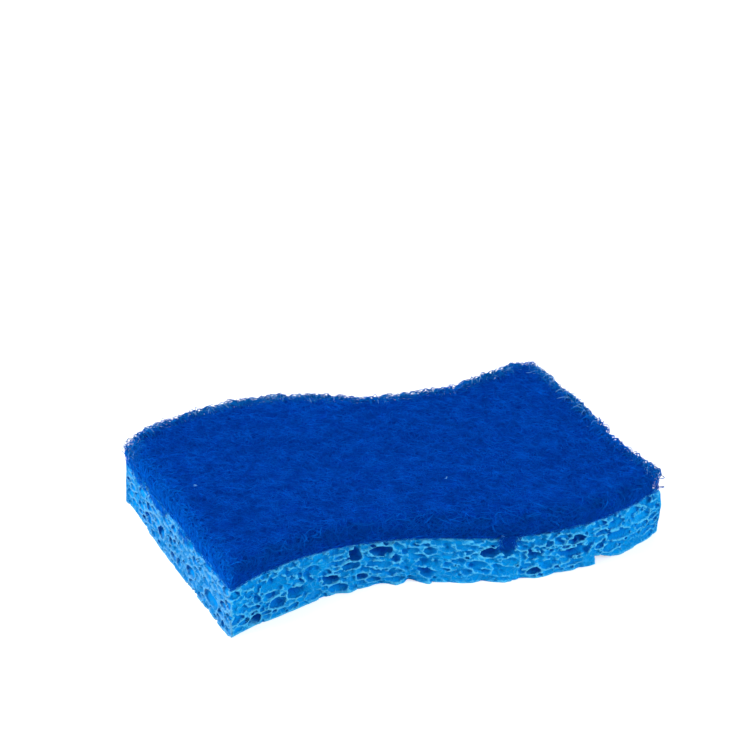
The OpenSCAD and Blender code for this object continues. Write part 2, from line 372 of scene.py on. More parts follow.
# Windows are small openings in the floors of the wide pores, off the underside. How many a pore has and how
# large they are: the least, and more for each millimetre of half its size
WINDOWS_ABOVE = 2.0
LEAST_WITH_WINDOWS = 0.8
WINDOWS_LEAST, WINDOWS_MORE = 0.6, 1.2
WINDOW_SIZES, SIZED_LEAST, SIZED_MORE = (0.4, 0.75), 0.7, 0.18
# They are rather behind a pore than beside it, a little inside its face, and flattened
WINDOWS_BEHIND, WINDOWS_INSIDE, WINDOWS_FLAT = 1.3, 0.98, 0.7


def pack_wall(run, rise, tries, widest, rng, placed=(), open_top=True, reach_round=False):
    """Throws pores at a wall, wide ones first, and keeps those clear of the rest.

    A pore is its place along from the middle, its place up, its length, height, and depth as a share of that.
    Pores keep off the corners, but may reach round the one where the wall starts.
    """
    kept = np.zeros((tries + len(placed), 5))
    kept[: len(placed)] = np.array(placed).reshape(-1, 5)
    n = len(placed)
    luck = rng.random((tries, 5))
    for k in range(tries):
        size = (1 - k / tries) ** SMALLER
        length = (SMALLEST_PORE + (widest - SMALLEST_PORE) * size) * (LEAST_LUCK + LUCK * luck[k, 3])
        height = length * (HEIGHT_SHARE - WIDE_FLATTER * min(1, size * 2)) * (LEAST_LUCK + LUCK * luck[k, 2])
        end = run / 2 - CORNER_SHARE * length - CORNER_GAP
        start = ROUND_SHARE * length - run / 2 if reach_round else -end
        along = start + luck[k, 0] * (end - start)
        first = height / 2 + EDGE_LEFT
        up = first + luck[k, 1] * (rise - first - (0 if open_top else first))
        others = kept[:n]
        clear = ((others[:, 0] - along) / (others[:, 2] + length)) ** 2
        clear += ((others[:, 1] - up) / (others[:, 3] + height)) ** 2
        if (clear > PRESSED**2 / 4).all():
            depth = LEAST_DEPTH + LUCK_DEPTH * luck[k, 4] ** 1.5 + SMALL_DEPTH * (1 - size)
            kept[n] = along, up, length, height, depth
            n += 1
    return kept[:n]


def wall_pores(rng):
    """Pores of the walls and of the underside.

    A pore is its centre, its half sizes along x, v and z, the axis that its face looks along, and its lean.
    """
    pores = []

    def add(found, axis, side):
        for along, up, length, height, deep in found:
            depth = height * deep
            sunk = side * depth * rng.uniform(OUTWARD, INWARD)
            lean = rng.normal(0, SHORT_LEAN if length < SHORT else LONG_LEAN)
            centre, half = [along, up], [length / 2, height / 2]
            if axis == 2:
                shorter = rng.uniform(*UNDER_SHORTER)
                half = [half[0] * shorter, half[1] / shorter]
                lean *= UNDER_LEAN
            else:
                grown = 1 + (GROWN - 1) * min(1, GROWN_UP_TO / length)
                # The wave makes a long side longer than the strip
                shorter = 1 / math.hypot(1, float(wave_slope(np.array(along)))) if axis == 1 else 1
                half = [grown * half[0] * shorter, grown * half[1]]
            centre.insert(axis, side * (LENGTH / 2, STRIP_WIDTH / 2, 0)[axis] - sunk)
            half.insert(axis, depth)
            pores.append((centre, half, axis, lean))

    front = pack_wall(LENGTH, THICKNESS, FRONT_THROWS, WIDEST_BETWEEN, rng, FRONT_PORES, reach_round=True)
    add(front, 1, -1)
    add(pack_wall(LENGTH, THICKNESS, BACK_THROWS, WIDEST_THROWN, rng), 1, 1)
    left = pack_wall(STRIP_WIDTH, THICKNESS, END_THROWS, WIDEST_BETWEEN, rng, LEFT_PORES, reach_round=True)
    left[:, 4] *= LEFT_DEPTH
    add(left, 0, -1)
    add(pack_wall(STRIP_WIDTH, THICKNESS, END_THROWS, WIDEST_THROWN, rng), 0, 1)
    walls, pores = pores, []
    under = pack_wall(LENGTH, STRIP_WIDTH, UNDER_THROWS, WIDEST_UNDER, rng, open_top=False)
    under[:, 1] -= STRIP_WIDTH / 2
    under[:, 4] *= UNDER_DEPTH
    add(under, 2, -1)
    return walls, pores


def window_pores(pores, rng):
    """Small openings in the floors of the wide pores, into the cells behind. The left end has none."""
    windows = []
    for centre, half, axis, _ in pores:
        widest = max(half)
        if widest < LEAST_WITH_WINDOWS or centre[0] < -LENGTH / 2 + 1:
            continue
        inward = -math.copysign(1, centre[axis])
        for _ in range(int(WINDOWS_LEAST + WINDOWS_MORE * widest)):
            way = rng.normal(size=3)
            way[axis] = inward * abs(way[axis]) * WINDOWS_BEHIND
            size = rng.uniform(*WINDOW_SIZES) * (SIZED_LEAST + SIZED_MORE * widest)
            place = np.array(centre) + unit(way) * np.array(half) * WINDOWS_INSIDE
            if place[2] > size + WINDOWS_ABOVE:
                windows.append((place, (size, size, size * WINDOWS_FLAT), 1, 0.0))
    return windows


# Distances outside a pore are worked out this far round it, and are this much elsewhere
CARVED_ROUND, FAR = 0.8, 10.0


def carve(block, warped, pores):
    """Distance outside the nearest pore and outside the next one, for each cell of a block."""
    near, second = (np.full(block.shape, FAR, np.float32) for _ in range(2))
    for centre, half, axis, lean in pores:
        centre, half = np.array(centre), np.array(half)
        part = block.near(centre, max(half) + CARVED_ROUND)
        out = [warped[k][part] - centre[k] for k in range(3)]
        # A pore leans in the plane of its face
        a, b = (k for k in range(3) if k != axis)
        c, s = math.cos(lean), math.sin(lean)
        out[a], out[b] = c * out[a] + s * out[b], c * out[b] - s * out[a]
        away = np.sqrt(sum((out[k] / half[k]) ** 2 for k in range(3)))
        steep = np.sqrt(sum((out[k] / half[k] ** 2) ** 2 for k in range(3)))
        away = away * (away - 1) / np.maximum(steep, 1e-3)
        second[part] = np.minimum(second[part], np.maximum(near[part], away))
        near[part] = np.minimum(near[part], away)
    return near, second


def with_skins(near, second):
    """Distance outside the pores with a thin skin left standing between neighbours."""
    return np.maximum(near, (SKIN + near - second) / 2)


# Unevenness of the sponge's pores, which is less upwards, and of its outer faces, which stops below the pad:
# size of the lumps and how far they move things
UNEVEN_PORES = ((2.4, 0.3), (0.9, 0.13))
UNEVEN_UPRIGHT = 0.7
UNEVEN_FACES = ((6, 0.1), (1.6, 0.12))
EVEN_UNDER_PAD = 0.6
# The front and left walls keep finer triangles, this far in and from this height up
FINE_DEEP, FINE_ABOVE = 3, 0.3
# Depths are noted down to this one. What is thin has mostly air within this distance
DEEPEST = 4
THIN_ROUND = 0.4


def carve_sponge():
    """The sponge as a mesh, with notes of how deep each point lies and how thin the sponge is there."""
    rng = np.random.default_rng(20)
    block = Block(0, THICKNESS, SPONGE_CELL)
    uneven = [sum(block.noise(size, rng) * reach for size, reach in UNEVEN_PORES) for _ in range(3)]
    inset = flared(block.x, block.v, block.z)
    warped = [inset[0] + uneven[0], inset[1] + uneven[1], block.z + UNEVEN_UPRIGHT * uneven[2]]
    outer = outside_sponge(block.x, block.v, block.z).astype(np.float32)
    lumps = sum(reach * block.noise(size, rng) for size, reach in UNEVEN_FACES)
    outer = np.maximum(outer + lumps * (block.z < THICKNESS - EVEN_UNDER_PAD), -block.z)
    walls, under = wall_pores(rng)
    hollow = with_skins(*carve(block, warped, walls))
    below = np.maximum(with_skins(*carve(block, warped, under)), UNDER_APART - hollow)
    below = np.maximum(below, outside_walls(block.x, block.v, 0) + UNDER_INSIDE)
    hollow = np.minimum(hollow, carve(block, warped, window_pores(walls, rng))[0])
    hollow = np.minimum(hollow, below)
    solid = np.maximum(outer, -np.minimum(hollow, outside_chip(*warped)))
    piece = block.mesh("sponge_body", solid)
    x, y, z = points_of(piece).T
    in_front = y - wave(x) < FINE_DEEP - STRIP_WIDTH / 2
    at_left = x < FINE_DEEP - LENGTH / 2
    thin_out(piece, SPONGE_TRIANGLES, ~((in_front | at_left) & (z > FINE_ABOVE)))
    places = straightened(points_of(piece))
    note(piece, "depth", np.clip(-outside_sponge(*places.T), 0, DEEPEST))
    held = (solid < 0).astype(np.float32)
    note(piece, "thin", 1 - block.read(blurred(held, round(THIN_ROUND / SPONGE_CELL)), places))
    return piece


def outside_chip(x, v, z):
    """Distance outside the chip that is broken out of the front lower edge."""
    slope = (z - CHIP_HEIGHT * (1 - (x - CHIP_AT) / CHIP_LENGTH)) * CHIP_STEEP
    return np.maximum.reduce([CHIP_AT - x, slope, v + STRIP_WIDTH / 2 - CHIP_REACH])


def skin_of(field):
    """Points, counted in cells, and quads of the closed skin round where a field is below zero."""
    # The skin passes through the cells that have solid and empty corners
    solid = field < 0
    held = np.zeros([n - 1 for n in field.shape], np.int8)
    for corner in np.ndindex(2, 2, 2):
        held += solid[tuple(slice(a, a - 1 or None) for a in corner)]
    crossed = (held > 0) & (held < 8)
    cells = np.argwhere(crossed)
    number = np.full(crossed.shape, -1, np.int64)
    number[crossed] = np.arange(len(cells))
    # A cell's point is the middle of the places where its edges cross the skin
    total, hits = np.zeros((len(cells), 3)), np.zeros(len(cells))
    for axis in range(3):
        others = [k for k in range(3) if k != axis]
        for corner in np.ndindex(2, 2):
            start = np.zeros(3, int)
            start[others] = corner
            near = cells + start
            far = near.copy()
            far[:, axis] += 1
            f0, f1 = field[tuple(near.T)], field[tuple(far.T)]
            cut = (f0 < 0) != (f1 < 0)
            place = np.tile(start.astype(float), (cut.sum(), 1))
            place[:, axis] = f0[cut] / (f0[cut] - f1[cut])
            total[cut] += place
            hits[cut] += 1
    # Each edge that crosses the skin gives a quad between the four cells round it
    quads = []
    for axis in range(3):
        others = [k for k in range(3) if k != axis]
        lined = np.moveaxis(solid, axis, 0)
        cut = (lined[:-1] != lined[1:])[:, 1:-1, 1:-1]
        found = np.argwhere(cut)
        upper_solid = lined[1:][:, 1:-1, 1:-1][cut]
        corners = []
        for a, b in ((0, 0), (1, 0), (1, 1), (0, 1)):
            where = np.empty((len(found), 3), int)
            where[:, axis] = found[:, 0]
            where[:, others[0]] = found[:, 1] + a
            where[:, others[1]] = found[:, 2] + b
            corners.append(number[tuple(where.T)])
        quad = np.stack(corners, 1)
        turned = upper_solid ^ (axis == 1)
        quad[turned] = quad[turned][:, ::-1]
        quads.append(quad)
    return cells + total / hits[:, None], np.concatenate(quads)


def largest_part(points, faces):
    """Keeps the skin with most points, and leaves out loose crumbs and cells shut off inside."""
    part = np.arange(len(points))
    ends = np.concatenate([faces[:, [k, (k + 1) % faces.shape[1]]] for k in range(faces.shape[1])])
    while True:
        least = np.minimum(part[ends[:, 0]], part[ends[:, 1]])
        lower = part.copy()
        np.minimum.at(lower, ends[:, 0], least)
        np.minimum.at(lower, ends[:, 1], least)
        lower = lower[lower]
        if (lower == part).all():
            break
        part = lower
    kept = part == np.bincount(part).argmax()
    number = np.cumsum(kept) - 1
    return points[kept], number[faces[kept[faces[:, 0]]]]


def blurred(values, radius):
    """Values averaged over a cube of cells, twice."""
    for _ in range(2):
        for axis in range(3):
            lined = np.pad(np.moveaxis(values, axis, 0), [(radius + 1, radius), (0, 0), (0, 0)], "edge")
            run = np.cumsum(lined, 0)
            width = 2 * radius + 1
            values = np.moveaxis((run[width:] - run[:-width]) / width, 0, axis)
    return values


# The pad: a lumpy felted body under a mat of separate fibres

FIBRE_PIECES = 4
FIBRES_EACH = 11_000
FUZZ_FIBRES = 3500
FIBRE_SIDES = 3
BODY_TRIANGLES = 60_000
# The body lies this far in under the fibres, or this share of it under the top, and further behind and at
# the right
BODY_SUNK = 1.0
TOP_SUNK_SHARE = 0.4
BODY_BACK_SUNK = 0.4
# Size and reach of the lumps that the body and its fibres share, and of the body's own roughness. Both stop
# at the foot
LUMPS = ((9, 0.22), (3.5, 0.16))
ROUGH = (1.7, 0.4)
EVEN_FOOT = 0.8
# Fibres lie this much deeper in the loose rim and walls of the pad, and deeper again by a share at the rim of
# the back and the right end
LOOSE_RIM, LOOSE_WALL, LOOSER_BACK = 0.7, 0.35, 0.5
# Fuzz grows where the way out of the pad rises by less than this. On the walls, where it rises by less than
# the second, only this share of it is left, and in front and at the left less again
FUZZ_BELOW, WALL_BELOW, WALL_SHARE = 0.97, 0.5, 0.05
FRONT_LESS, LEFT_LESS = 0.93, 0.8
# The fringe is teased out from this far inside the outline and below the top, over this stretch, and painted
# paler there, as if lit from behind. At the left end only the far corner is, from this v on over its own
# stretch
TEASED_FROM, TEASED_BELOW, TEASED_OVER = 2.8, 3.6, 1.6
TEASED_CORNER, CORNER_OVER = 23, 4
# Height of the fibres' bed over the pad, and its spread, which is less on the top
BED, BED_SPREAD, LESS_ON_TOP = 0.1, 0.5, 0.25
# How much less the fibres stand off and get painted rim light in front and at the left
STANDS_LESS, RIM_LIGHT_LESS = (0.7, 0.6), (0.75, 0.2)
# Painted rim light makes the fibres paler from this far inside the outline, over this stretch
RIM_LIGHT_FROM, RIM_LIGHT_OVER = 3.0, 1.8
# How much their heading wanders, by axis, and how much of it loose ones lose across the rim
WANDER, WANDERS, LESS_ACROSS = 0.3, (0.7, 1, 0.5), 0.5
# Starts are tried so many at a time, and kept within this distance of the pad's faces
TRIED_AT_ONCE, START_NEAR = 40_000, 0.5
# How fibres are laid: the number of rings along them, how far they stand off the pad, their length and their
# radius, each from least to most, how their heading spreads in x, y and z, the share that has loose ends, and
# how much of the pad's looseness they follow
STRANDS = {
    "rings": 3, "stands": (0, 0.3), "length": (1.2, 3.6), "radius": (0.045, 0.07), "spread": (0.8, 1, 0.5),
}
FUZZ = {
    "rings": 6, "stands": (0, 1.6), "length": (1.6, 4.0), "radius": (0.07, 0.11), "spread": (1, 1, 0.5),
    "loose": 0.15, "sinks": 0.5,
}
LINT = {
    "rings": 4, "stands": (0, 0.3), "length": (0.3, 0.5), "radius": (0.06, 0.08), "spread": (1, 0.6, 0.3),
}
# Tufts that hang over the sponge: on the front or not, place along, spread, drop and number of fibres
TUFTS = [
    (True, 11.3, 0.9, 2.5, 100), (False, 9.4, 2.6, 1.2, 80), (False, 20.0, 2.4, 0.8, 40),
    (False, -6.0, 2.0, 0.6, 30),
]
# Hanging fibres: the widest tuft, their least drop as a share, how far they drift along the wall and
# stand off it, how far above the sponge they start, and their radius
HANG_RINGS = 4
WIDEST_TUFT, LEAST_DROP = 1.6, 0.3
HANG_DRIFT, HANG_OFF, HANG_OFF_MORE, HANG_FROM = 0.55, 0.25, 0.12, 1.0
HANG_RADIUS = 0.05, 0.08
# Pale flecks of lint caught on the pad and the sponge, as x, v, z and size, and the fibres for a size of 1
FLECKS = [(-45.5, 1.1, TOP, 0.4), (6.1, -12.2, TOP, 0.25), (9.9, -31.2, 11.3, 0.3)]
LINT_FIBRES = 40


def carve_pad():
    """The pad's body under its fibres, with the block and the lumps that the fibres follow."""
    rng = np.random.default_rng(5)
    block = Block(THICKNESS, TOP, PAD_CELL)
    lumps = sum(reach * block.noise(size, rng) for size, reach in LUMPS)
    rough = ROUGH[1] * block.noise(ROUGH[0], rng)
    x = block.x * (1 + (block.x > 0) * BODY_BACK_SUNK / (LENGTH / 2))
    v = block.v * (1 + (block.v > 0) * BODY_BACK_SUNK / (STRIP_WIDTH / 2))
    outer = outside_pad(x, v, block.z, BODY_SUNK)
    solid = (outer + (lumps + rough) * (block.z > THICKNESS + EVEN_FOOT)).astype(np.float32)
    piece = block.mesh("scrub_pad_body", solid)
    thin_out(piece, BODY_TRIANGLES)
    note(piece, "teased_painted_light", fringe_with_painted_light(points_of(piece)))
    return piece, block, lumps


def above_pad(places):
    """Distance of places, in x, y and z, outside the pad's plain faces, and the way out of it there."""
    def outside(shifted):
        return outside_pad(*straightened(shifted).T)

    step = 0.05
    ways = [outside(places + step * way) - outside(places - step * way) for way in np.eye(3)]
    return outside(places), unit(np.stack(ways, 1))


def starts_on_pad(count, rng, rim_only=False):
    """Random places on the top and the walls of the pad, evenly spread, or where its fuzz grows."""
    found = []
    while sum(map(len, found)) < count:
        low = [PAD_LOW[0] - 1, PAD_LOW[1] - 1, THICKNESS + 0.4]
        tried = rng.uniform(low, PAD_HIGH + 1, (TRIED_AT_ONCE, 3))
        gap, out = above_pad(tried)
        near = (np.abs(gap) < START_NEAR) & (out[:, 2] > -0.3)
        if rim_only:
            on_rim = (out[:, 2] > WALL_BELOW) | (rng.random(len(tried)) < WALL_SHARE)
            near &= (out[:, 2] < FUZZ_BELOW) & on_rim
            _, front, left = rim_parts(tried)
            near &= rng.random(len(tried)) > FRONT_LESS * front + LEFT_LESS * left
        found.append(tried[near])
    return np.concatenate(found)[:count]


def rim_parts(places):
    """How far places on the pad are outside the outline, and their share in its front and left walls."""
    x, v, _ = straightened(places).T
    side = (np.abs(v) - STRIP_WIDTH / 2) / np.sqrt(1 + wave_slope(x) ** 2)
    end = np.abs(x) - LENGTH / 2
    sideways = np.clip((side - end) / 2 + 0.5, 0, 1)
    return np.maximum(side, end), sideways * (v < 0), (1 - sideways) * (x < 0)


def fringe_with_painted_light(places):
    """How much places on the pad belong to the loose fringe of its back, right end and far left corner, which
    is painted paler as if lit from behind.
    """
    rim, front, left = rim_parts(places)
    v = straightened(places)[:, 1]
    left = left * (1 - np.clip((v - TEASED_CORNER) / CORNER_OVER, 0, 1))
    high = np.clip((places[:, 2] - TOP + TEASED_BELOW) / TEASED_OVER, 0, 1)
    return np.clip((rim + TEASED_FROM) / TEASED_OVER, 0, 1) * (1 - front - left) * high


def lay_fibres(name, starts, rng, rings, stands, length, radius, spread, loose=0.0, sinks=1.0):
    """A piece of fibres that run over the pad from their starts, and stand off it in loops or loose ends."""
    count = len(starts)
    heading = unit(rng.normal(size=(count, 3)) * spread)
    step = rng.uniform(*length, (count, 1)) / (rings - 1)
    # Fibres lie deeper in the loose walls than in the pressed top. The front and left walls are the smoothest
    level = np.clip(above_pad(starts)[1][:, 2], 0, 1)
    rim, front, left = rim_parts(starts)
    rim_depth = LOOSE_RIM * (1 + LOOSER_BACK * (1 - front - left))
    loosened = LOOSE_WALL + (rim_depth - LOOSE_WALL) * np.clip(level * 2, 0, 1)
    loosened *= sinks * np.clip((1 - level) * 8, 0, 1)
    bed = BED - loosened - (BED_SPREAD - LESS_ON_TOP * level) * rng.random(count)
    rise = rng.uniform(*stands, count) * (1 - STANDS_LESS[0] * front - STANDS_LESS[1] * left)
    free = rng.random(count) < loose
    place = starts.copy()
    paths, outs = [], []
    for k in range(rings):
        share = k / (rings - 1)
        gap, out = above_pad(place)
        height = bed + rise * np.where(free, share**2, math.sin(math.pi * share))
        height = height - pad_block.read(pad_lumps, straightened(place))
        place = place + (height - gap)[:, None] * out
        paths.append(place)
        outs.append(out)
        heading = heading + WANDER * rng.normal(size=(count, 3)) * WANDERS
        # Loose fibres run rather along the rim than across it
        side = out * (1, 1, 0)
        heading -= (loose > 0) * LESS_ACROSS * (heading * side).sum(1, keepdims=True) * side
        heading = unit(heading - (heading * out).sum(1, keepdims=True) * out)
        place = place + step * heading
    piece = tubes(name, np.stack(paths, 1), np.stack(outs, 1), rng.uniform(*radius, count), rng)
    corners = rings * FIBRE_SIDES
    # Painted rim light: fibres near the outline are painted paler, less so in front and at the left
    pale = np.clip((rim + RIM_LIGHT_FROM) / RIM_LIGHT_OVER, 0, 1) * (1 - RIM_LIGHT_LESS[0] * front - RIM_LIGHT_LESS[1] * left)
    note(piece, "rim", np.repeat(pale, corners))
    note(piece, "teased_painted_light", np.repeat(fringe_with_painted_light(starts), corners))
    # Painted light and shade: fibres that stand off are painted darker, as seen against the light, than those
    # that lie down
    note(piece, "lying", np.repeat(1 - rise / max(stands), corners))
    return piece


def hang_fibres(name, tufts, rng):
    """A piece of fibres that hang from the pad's lower edge over the sponge, in front or at the left."""
    paths, outs = [], []
    rings = HANG_RINGS
    for front, along, wide, drop, count in tufts:
        spread = along + wide * np.clip(rng.normal(size=count), -WIDEST_TUFT, WIDEST_TUFT)
        sink = drop * rng.uniform(LEAST_DROP, 1, count)
        path = np.zeros((count, rings, 3))
        drift = np.cumsum(rng.normal(0, HANG_DRIFT, (count, rings)), 1)
        off = HANG_OFF + np.abs(np.cumsum(rng.normal(0, HANG_OFF_MORE, (count, rings)), 1))
        if front:
            path[..., 0] = spread[:, None] + drift
            path[..., 1] = wave(path[..., 0]) - STRIP_WIDTH / 2 - off
        else:
            path[..., 1] = spread[:, None] + drift
            path[..., 0] = -LENGTH / 2 - off
        path[..., 2] = THICKNESS + HANG_FROM - (HANG_FROM + sink[:, None]) * np.linspace(0, 1, rings)
        paths.append(path)
        outs.append(np.broadcast_to((0.0, -1.0, 0.0) if front else (-1.0, 0.0, 0.0), path.shape))
    path, out = np.concatenate(paths), np.concatenate(outs)
    piece = tubes(name, path, out, rng.uniform(*HANG_RADIUS, len(path)), rng)
    # The fibres that hang at the left end get the painted rim light too
    note(piece, "rim", np.repeat(1.0 * (path[:, 0, 0] < 1 - LENGTH / 2), rings * FIBRE_SIDES))
    return piece


# Ends of a fibre are thinner than its middle, and their caps have this size and these heights in its map
THIN_END = 0.45
CAP_WIDE, CAP_HIGH, CAPS_AT = 0.8, 0.9, (0, 1.5)
MAP_GAP = 0.1


def tubes(name, path, out, radius, rng):
    """Closed thin tubes round many paths at once, with a shade for each."""
    count, rings, _ = path.shape
    along = unit(np.gradient(path, axis=1))
    across = unit(np.cross(along, out))
    away = np.cross(across, along)
    taper = np.full(rings, 1.0)
    taper[[0, -1]] = THIN_END
    turn = 2 * np.pi * (np.arange(FIBRE_SIDES) / FIBRE_SIDES) + np.pi / 2
    thick = radius[:, None, None, None] * taper[None, :, None, None]
    ring = away[:, :, None] * np.sin(turn)[:, None] + across[:, :, None] * np.cos(turn)[:, None]
    points = path[:, :, None] + thick * ring
    faces, uv = [], []
    for k in range(rings - 1):
        for j in range(FIBRE_SIDES):
            a, b = k * FIBRE_SIDES + j, k * FIBRE_SIDES + (j + 1) % FIBRE_SIDES
            c, d = b + FIBRE_SIDES, a + FIBRE_SIDES
            faces += [(a, b, c), (a, c, d)]
            uv += [[(k, j), (k, j + 1), (k + 1, j + 1)], [(k, j), (k + 1, j + 1), (k + 1, j)]]
    last = (rings - 1) * FIBRE_SIDES
    faces += [(0, 2, 1), (last, last + 1, last + 2)]
    end = rings - 1
    uv += [[(end, up), (end + CAP_WIDE, up), (end, up + CAP_HIGH)] for up in CAPS_AT]
    faces = np.array(faces)[None] + (np.arange(count) * rings * FIBRE_SIDES)[:, None, None]
    piece = new_mesh(name, points.reshape(-1, 3), faces.reshape(-1, 3), 3)
    lay_map(piece, np.array(uv, float), count, rings + 2 * MAP_GAP, FIBRE_SIDES + 3 * MAP_GAP)
    note(piece, "shade", np.repeat(rng.random(count), rings * FIBRE_SIDES))
    return piece


def lay_map(piece, one, count, wide, high):
    """Gives each fibre its own cell of a flat map, with its sides unrolled in it."""
    across = math.ceil(math.sqrt(count * high / wide))
    rows = math.ceil(count / across)
    cell = np.stack([np.arange(count) % across, np.arange(count) // across], 1)
    spot = (one + MAP_GAP) / (wide, high)
    places = (cell[:, None, None] + spot[None]) / (across, rows)
    piece.data.uv_layers.new(name="OFBake").uv.foreach_set("vector", places.astype(np.float32).ravel())


# Finishes


class Wire:
    """One output of a node. A sum on it adds the Math node that works it out."""

    def __init__(self, finish, socket):
        self.finish, self.socket = finish, socket

    def math(self, operation, *values):
        return self.finish.node("ShaderNodeMath", {"operation": operation}, *values)

    def __add__(self, other):
        return self.math("ADD", self, other)

    def __sub__(self, other):
        return self.math("SUBTRACT", self, other)

    def __rsub__(self, other):
        return self.math("SUBTRACT", other, self)

    def __mul__(self, other):
        return self.math("MULTIPLY", self, other)

    __radd__, __rmul__ = __add__, __mul__


class Finish:
    """The nodes of a material or of the world."""

    def __init__(self, owner):
        self.owner = owner
        owner.use_nodes = True
        self.tree = owner.node_tree
        self.tree.nodes.clear()

    def feed(self, made, socket, value):
        """Links a socket of a node, or gives it a value."""
        if isinstance(value, Wire):
            self.tree.links.new(value.socket, made.inputs[socket])
        else:
            made.inputs[socket].default_value = value

    def node(self, kind, settings=None, *values, out=0, **named):
        """Adds a node with its settings and the values or links of its sockets, and gives one output."""
        made = self.tree.nodes.new(kind)
        for key, value in (settings or {}).items():
            setattr(made, key, value)
        for socket, value in enumerate(values):
            self.feed(made, socket, value)
        for socket, value in named.items():
            self.feed(made, socket.replace("_", " "), value)
        return Wire(self, made.outputs[out])

    def place(self):
        """Place on the piece, in metres."""
        return self.node("ShaderNodeTexCoord", out="Object")

    def read(self, name):
        """A number that was noted for each point."""
        return self.node("ShaderNodeAttribute", {"attribute_name": name}, out="Fac")

    def noise(self, place, size, detail=3.0, roughness=0.55):
        """Noise from 0 to 1 whose lumps are about as big as size, in millimetres."""
        return self.node("ShaderNodeTexNoise", None, out="Fac", Vector=place, Scale=1 / (size * MM),
                         Detail=detail, Roughness=roughness)

    def ramp(self, value, low, high):
        """From 0 at low to 1 at high, smoothly."""
        smooth = {"interpolation_type": "SMOOTHSTEP"}
        return self.node("ShaderNodeMapRange", smooth, value, low, high, 0.0, 1.0)

    def blend(self, share, first, second):
        """Mixes two colours."""
        mix = self.tree.nodes.new("ShaderNodeMix")
        mix.data_type = "RGBA"
        for socket, value in ((0, share), (6, first), (7, second)):
            self.feed(mix, socket, value)
        return Wire(self, mix.outputs[2])

    def surface(self, colour, roughness, height=None, bump=1.0, **constant):
        """The Principled surface of a material, with a bump in millimetres."""
        values = {"Base_Color": colour, "Roughness": roughness, **constant}
        if height is not None:
            values["Normal"] = self.node("ShaderNodeBump", None, Strength=1.0, Distance=bump * MM,
                                         Height=height)
        return self.end(self.node("ShaderNodeBsdfPrincipled", None, out="BSDF", **values))

    def end(self, shader, kind="ShaderNodeOutputMaterial"):
        """Ends the nodes with a shader, and gives what they belong to."""
        self.feed(self.tree.nodes.new(kind), "Surface", shader)
        return self.owner

    def seen_directly(self):
        """1 for what the camera sees, mirrored or through glass too, and 0 for light that falls on things."""
        camera, mirrored, through = (self.node("ShaderNodeLightPath", None, out=f"Is {ray} Ray")
                                     for ray in ("Camera", "Glossy", "Transmission"))
        return camera + mirrored + through


def linear(red, green, blue):
    """A colour given as 0 to 255 on a screen, as the renderer counts it."""
    def one(c):
        c /= 255
        return c / 12.92 if c <= 0.04045 else ((c + 0.055) / 1.055) ** 2.4
    return (one(red), one(green), one(blue), 1.0)


# Colours as they show on a screen
# The last is painted shade for the depths of the pores
SPONGE_DIM, SPONGE_BRIGHT, SPONGE_PAINTED_SHADE = linear(0, 140, 223), linear(0, 153, 235), linear(0, 99, 197)
SPONGE_SKIN = linear(84, 202, 255)
FRAYED_SPONGE, FRAYED_SKIN = linear(6, 128, 204), linear(98, 178, 232)
# The last is painted light for the body's teased fringe
BODY_DIM, BODY_BRIGHT, BODY_FRINGE_PAINTED_LIGHT = linear(0, 62, 175), linear(0, 72, 195), linear(0, 100, 190)
# Fibres, from the dimmest ones of dark patches to the brightest ones of pale patches
STRAND_COLOURS = linear(0, 61, 168), linear(0, 71, 188), linear(0, 86, 202), linear(0, 104, 224)
FUZZ_COLOURS = linear(0, 62, 160), linear(0, 74, 180), linear(0, 96, 212), linear(0, 108, 222)
# Painted light of the rim's fibres
RIM_PAINTED_LIGHT = linear(0, 128, 245)
# Painted shade and painted light of the fringe's standing and lying fibres, and the painted glint of a few
FRINGE_STANDING_PAINTED_SHADE, FRINGE_LYING_PAINTED_LIGHT, FRINGE_PAINTED_GLINT = linear(0, 90, 160), linear(24, 136, 226), linear(140, 200, 250)
LINT_DIM, LINT_BRIGHT = linear(84, 166, 236), linear(124, 196, 255)

# Cells too small to carve are drawn as a net: their size, how much they are flattened, and the size and reach
# of the noise that bends it
NET_CELL, NET_FLAT, NET_BENT, NET_REACH = 1.3, 1.7, 1.1, 0.7
# How far in from the left end its skins stop being frayed and its pores' painted shade stops being lifted by
# painted light, and where they are so in full
FRAYED, PORE_SHADE_LIFTED = (0.6, 0.1), (4.0, 1.5)
FIBRE_ROUGHNESS, MAT_ROUGHNESS = 0.8, 0.85
# Share of the fringe's colour with its painted light and shade, and of the painted glint on a few of the
# teased fibres
FRINGE_PAINTED_LIGHT_SHARE, PAINTED_GLINT_SHARE = 0.8, 0.6


